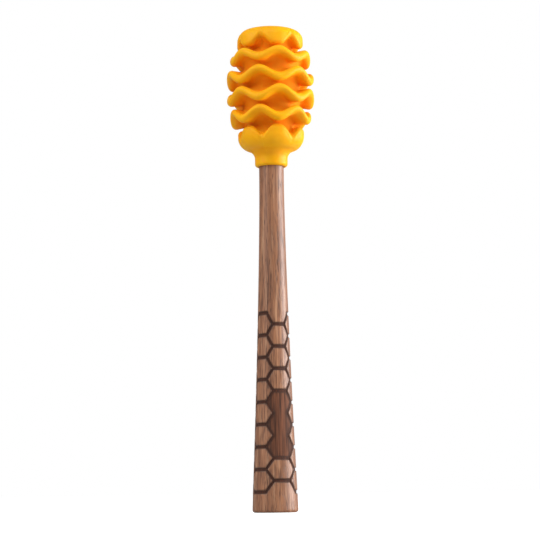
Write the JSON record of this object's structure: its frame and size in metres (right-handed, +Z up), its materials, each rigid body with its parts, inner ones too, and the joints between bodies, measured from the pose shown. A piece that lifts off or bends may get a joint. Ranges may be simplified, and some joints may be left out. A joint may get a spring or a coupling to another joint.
{
  "type": "honey dipper",
  "caption": "Honey dipper with a ruffled silicone head, whose wavy tiers hold honey, pushed onto a flared round wooden handle engraved with a honeycomb.",
  "frame": {"origin": "centre of the handle's flat end, on which the dipper stands", "axes": "+Z up along the axis from the handle's end to the head, -Y out of the side with the engraved panel"},
  "size_m": [0.0338, 0.0338, 0.1858],
  "materials": {
    "wood": "sanded bare wood, laser-engraved and charred",
    "silicone": "satin, slightly translucent"
  },
  "bodies": {
    "handle": {"wooden_handle": "wood"},
    "head": {"silicone_head": "silicone"}
  },
  "joints": [
    {"name": "head_pull", "type": "slide", "parent": "handle", "child": "head", "axis": [0, 0, 1], "range_m": [0, 0.042]}
  ]
}
